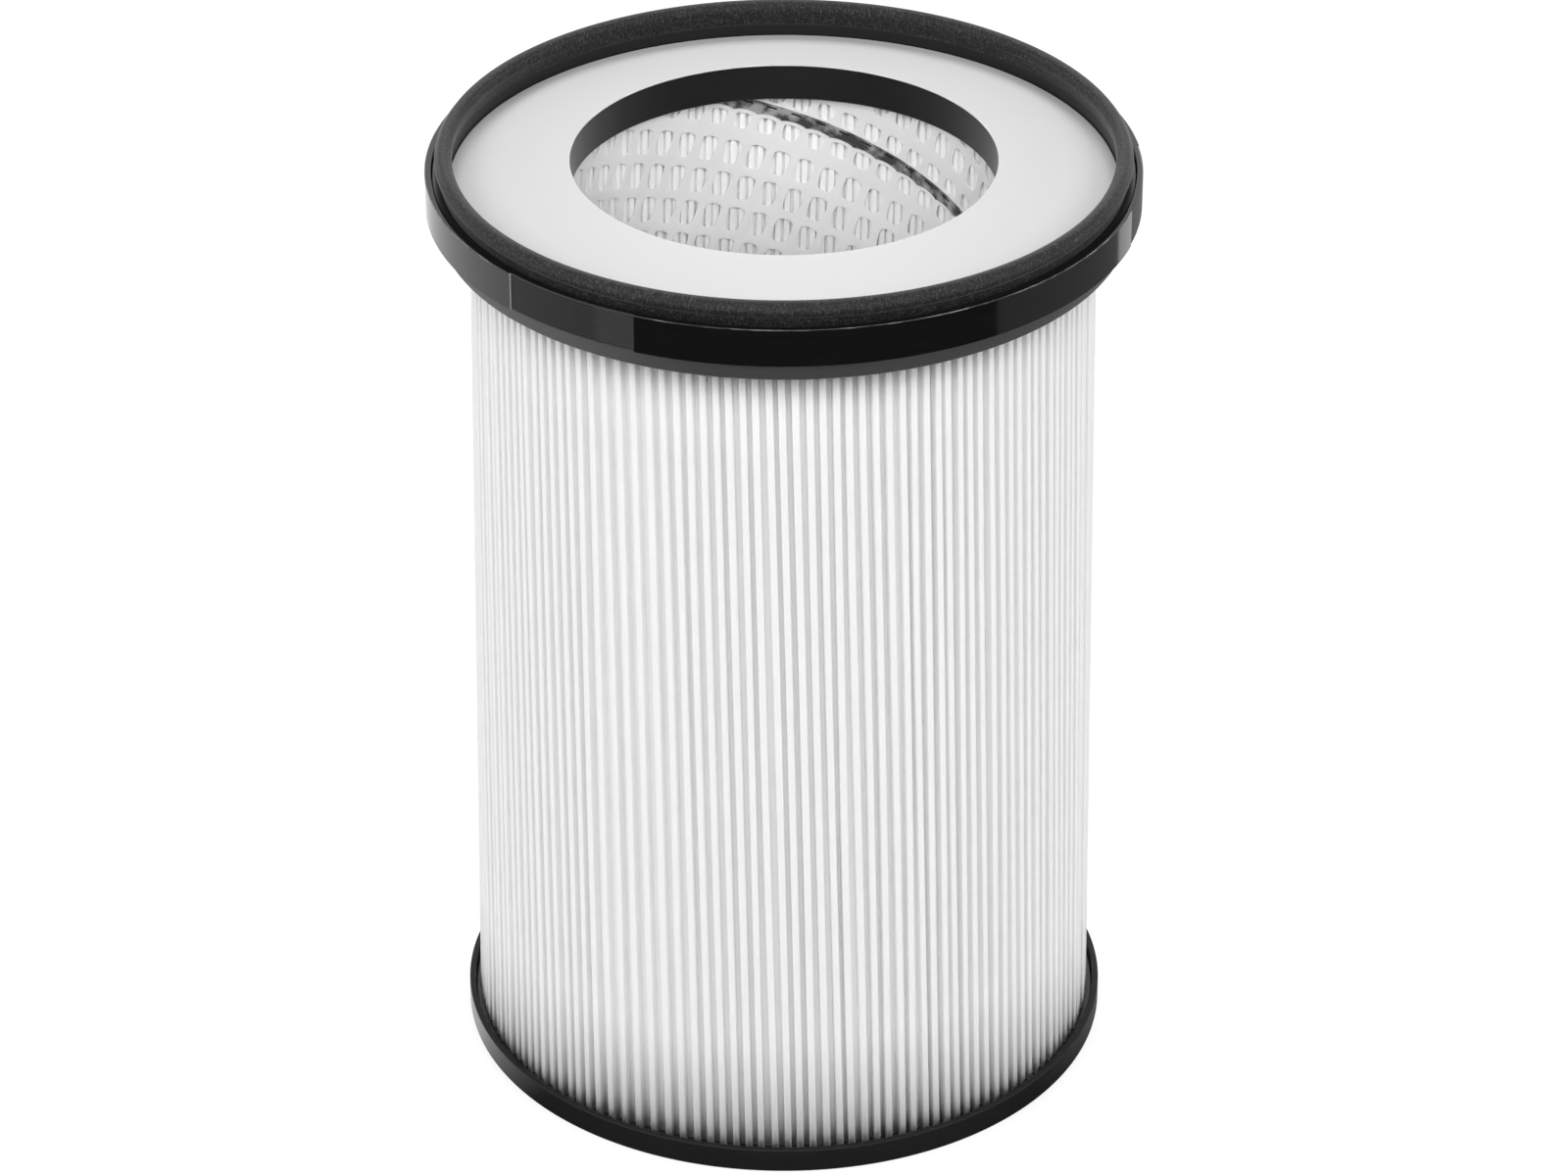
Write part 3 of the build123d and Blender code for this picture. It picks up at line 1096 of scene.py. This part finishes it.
class FILTER_OT_grip_ring(bpy.types.Operator):
    """Build the glossy ring with its ribbed grips"""

    bl_idname = "dust_filter.grip_ring"
    bl_label = "Grip Ring"

    def execute(self, context):
        sizes = context.scene.filter_sizes
        inner = GRIP_RADIUS - sizes.grip_wall
        pitch = (GRIP_TOP - GRIP_FOOT) / sizes.rib_count
        marks_per_rib = 4
        marks = range(1, sizes.rib_count * marks_per_rib)
        face = [(GRIP_RADIUS, GRIP_FOOT + mark * pitch / marks_per_rib, 0) for mark in marks]
        outline = [(inner, GRIP_FOOT, 0), (GRIP_RADIUS, GRIP_FOOT, 0), *face]
        outline += [(GRIP_RADIUS, GRIP_TOP, 0.0003), (inner, GRIP_TOP, 0.0003)]
        start = sizes.grip_first - pi / 2
        bm = bmesh.new()
        # One step for each degree, so that the grips' ends fall on steps
        turned(bm, outline, 360, start)
        for face in bm.faces:
            middle = face.calc_center_median()
            turn = (atan2(middle.y, middle.x) - start) % (tau / sizes.grip_count)
            # The wall at a grip's left end takes the pale finish that paints its highlight.
            at_left_end = turn < radians(1) and middle.xy.length > GRIP_RADIUS - sizes.rib_height
            face.material_index = 1 if at_left_end else 0
        for vert in bm.verts:
            self.sink_rib(vert, sizes, start, pitch)
        finishes = [gloss_black(context.scene.filter_colours.grip_black), painted_end_highlight()]
        new_piece("grip_band", bm, finishes, "grip_gloss", "grip_ring")
        return {"FINISHED"}

    def sink_rib(self, vert, sizes, start, pitch):
        """Press a point of the ring's face into the ribs of a grip."""
        radius = vert.co.xy.length
        spacing = tau / sizes.grip_count
        degrees = round((atan2(vert.co.y, vert.co.x) - start) % spacing * 180 / pi)
        if radius < GRIP_RADIUS - sizes.rib_height or not 0 <= degrees < sizes.grip_degrees:
            return
        if degrees == 0:
            vert.co.xy *= 1 + sizes.grip_line / radius
            return
        crest = (1 - cos(tau * (vert.co.z - GRIP_FOOT) / pitch)) / 2
        radius -= sizes.rib_sink + sizes.rib_height * (1 - crest)
        turn = atan2(vert.co.y, vert.co.x)
        # The walls at a grip's ends stand almost upright
        steep = radians(0.95)
        if degrees == 1:
            turn -= steep
        if degrees == sizes.grip_degrees - 1:
            turn += steep
        vert.co.x = radius * cos(turn)
        vert.co.y = radius * sin(turn)


class FILTER_OT_stage(bpy.types.Operator):
    """Set up the floor, the lamps and the camera"""

    bl_idname = "dust_filter.stage"
    bl_label = "Floor, Lamps and Camera"

    def execute(self, context):
        stage = context.scene.filter_stage
        self.floor(stage)
        self.world(context.scene, stage)
        middle = Vector((0, 0, PLATE_TOP / 2))
        flip = Vector((-1, 1, 1))
        side = Vector(stage.side_place)
        high = Vector(stage.high_place)
        self.lamp("left_side", side * flip, middle, stage.side_lamp, stage.side_power)
        self.lamp("right_side", side, middle, stage.side_lamp, stage.side_power)
        self.lamp("left_lamp", high * flip, middle, stage.high_lamp, stage.left_power)
        self.lamp("right_lamp", high, middle, stage.high_lamp, stage.right_power)
        self.lamp("front_lamp", stage.front_place, middle, stage.front_lamp, stage.front_power)
        self.lamp("back_lamp", stage.back_place, middle, stage.high_lamp, stage.back_power)
        self.beam(stage)
        self.card(stage)
        self.camera(context.scene, stage)
        context.scene.view_settings.view_transform = "Standard"
        return {"FINISHED"}

    def seen(self, tree):
        """1 for the rays that show the background: camera, glossy and transmission rays."""
        rays = []
        for kind in ("Camera", "Glossy", "Transmission"):
            rays.append(tree.node("ShaderNodeLightPath", None, None, f"Is {kind} Ray"))
        return tree.maths("MINIMUM", rays[0] + rays[1] + rays[2], 1.0)

    def floor(self, stage):
        """A floor that is white where it is seen, keeps the shadow and lights the filter a little less."""
        bm = bmesh.new()
        bmesh.ops.create_grid(bm, x_segments=1, y_segments=1, size=stage.floor_size / 2)
        floor = linked_object("floor", bm)
        material, tree = new_finish("pale_floor")
        pale = tree.node("ShaderNodeBsdfDiffuse", None, {"Color": grey(stage.floor_grey)})
        shadowed = tree.node("ShaderNodeBsdfDiffuse", None, {"Color": grey(1.3 * stage.shadow_share)})
        white = tree.node("ShaderNodeEmission", None, {"Strength": 1 - stage.shadow_share})
        shown = tree.node("ShaderNodeAddShader", None, {0: shadowed, 1: white})
        surface = tree.node("ShaderNodeMixShader", None, {0: self.seen(tree), 1: pale, 2: shown})
        tree.node("ShaderNodeOutputMaterial", None, {"Surface": surface})
        floor.data.materials.append(material)

    def card(self, stage):
        """Dark cards on the floor that only reflections show, with ends that fade out near the filter."""
        bm = bmesh.new()
        bmesh.ops.create_circle(bm, cap_ends=True, cap_tris=True, radius=stage.card_radius, segments=120)
        bmesh.ops.translate(bm, vec=(0, 0, 0.0005), verts=bm.verts[:])
        beyond = []
        for face in bm.faces:
            middle = face.calc_center_median()
            if not stage.card_left - stage.card_fade < atan2(middle.x, -middle.y) < stage.card_right:
                beyond.append(face)
        bmesh.ops.delete(bm, geom=beyond, context="FACES")
        card = linked_object("dark_cards", bm)
        card.visible_camera = False
        card.visible_diffuse = False
        card.visible_transmission = False
        card.visible_shadow = False
        material, tree = new_finish("dark_card")
        turn, out, _ = round_place(tree, 1).split()
        near = tree.maths("LESS_THAN", out, stage.card_inner)
        fade = near * (stage.card_fade - stage.card_step) + stage.card_step
        clamped_sum = {"operation": "ADD", "use_clamp": True}
        cover = tree.node("ShaderNodeMath", clamped_sum, {0: (turn - stage.card_left) / fade, 1: 0.75})
        greyness = tree.node("ShaderNodeMath", clamped_sum, {0: (turn - stage.card_middle) / fade, 1: 0.5})
        dark = tree.node("ShaderNodeBsdfDiffuse", None, {"Color": greyness * 0.24 + 0.01})
        clear = tree.node("ShaderNodeBsdfTransparent")
        surface = tree.node("ShaderNodeMixShader", None, {0: cover, 1: clear, 2: dark})
        tree.node("ShaderNodeOutputMaterial", None, {"Surface": surface})
        card.data.materials.append(material)

    def world(self, scene, stage):
        """Even light from all round, which looks white where it is seen."""
        world = bpy.data.worlds.new("studio")
        scene.world = world
        world.use_nodes = True
        world.node_tree.nodes.clear()
        tree = Shade(world.node_tree)
        level = stage.world_light + self.seen(tree) * (1 - stage.world_light)
        sky = tree.node("ShaderNodeBackground", None, {"Color": (1, 1, 1, 1), "Strength": level})
        tree.node("ShaderNodeOutputWorld", None, {"Surface": sky})

    def lamp(self, name, place, target, size, watts):
        """A square lamp that faces a target."""
        data = bpy.data.lights.new(name, "AREA")
        data.size = size
        data.energy = watts
        lamp = bpy.data.objects.new(name, data)
        lamp.location = place
        lamp.rotation_euler = (target - lamp.location).to_track_quat("-Z", "Y").to_euler()
        lamp.visible_camera = False
        bpy.context.scene.collection.objects.link(lamp)

    def beam(self, stage):
        """A narrow lamp near the camera, with its beam flattened to the outlet as seen from there."""
        data = bpy.data.lights.new("inner_lamp", "SPOT")
        data.energy = stage.inner_power
        data.shadow_soft_size = 0.01
        data.spot_blend = 0.15
        lamp = bpy.data.objects.new("inner_lamp", data)
        lamp.location = stage.inner_place
        way = Vector((0, 0, PLATE_TOP)) - lamp.location
        data.spot_size = 2 * atan(stage.beam_width / 2 / way.length)
        lamp.rotation_euler = way.to_track_quat("-Z", "Y").to_euler()
        lamp.scale.y = -way.z / way.length
        lamp.visible_camera = False
        bpy.context.scene.collection.objects.link(lamp)

    def camera(self, scene, stage):
        """The camera that took the view of the photograph."""
        data = bpy.data.cameras.new("camera")
        data.sensor_fit = "HORIZONTAL"
        data.sensor_width = 36
        data.lens = stage.camera_lens
        camera = bpy.data.objects.new("camera", data)
        camera.location = stage.camera_place
        camera.rotation_euler = (stage.camera_tilt, 0, 0)
        scene.collection.objects.link(camera)
        scene.camera = camera


OPERATORS = (
    FILTER_OT_bottom_pan,
    FILTER_OT_resin_rings,
    FILTER_OT_pleats,
    FILTER_OT_liner,
    FILTER_OT_top_cap,
    FILTER_OT_cover_plate,
    FILTER_OT_seal,
    FILTER_OT_grip_ring,
    FILTER_OT_stage,
)


class FILTER_PT_pieces(bpy.types.Panel):
    """Pieces of the filter"""

    bl_label = "Dust Extractor Filter"
    bl_idname = "FILTER_PT_pieces"
    bl_space_type = "VIEW_3D"
    bl_region_type = "UI"
    bl_category = "Filter"

    def draw(self, context):
        """List a button for each operator."""
        for operator in OPERATORS:
            self.layout.operator(operator.bl_idname)


CLASSES = (FilterSizes, FilterColours, StageSettings, *OPERATORS, FILTER_PT_pieces)


def register():
    """Add the add-on's classes and its settings."""
    for cls in CLASSES:
        bpy.utils.register_class(cls)
    bpy.types.Scene.filter_sizes = PointerProperty(type=FilterSizes)
    bpy.types.Scene.filter_colours = PointerProperty(type=FilterColours)
    bpy.types.Scene.filter_stage = PointerProperty(type=StageSettings)


def unregister():
    """Take them away again."""
    del bpy.types.Scene.filter_stage
    del bpy.types.Scene.filter_colours
    del bpy.types.Scene.filter_sizes
    for cls in reversed(CLASSES):
        bpy.utils.unregister_class(cls)


def main():
    """Build every piece and the stage."""
    register()
    for operator in OPERATORS:
        group, name = operator.bl_idname.split(".")
        getattr(getattr(bpy.ops, group), name)()


if __name__ == "__main__":
    main()
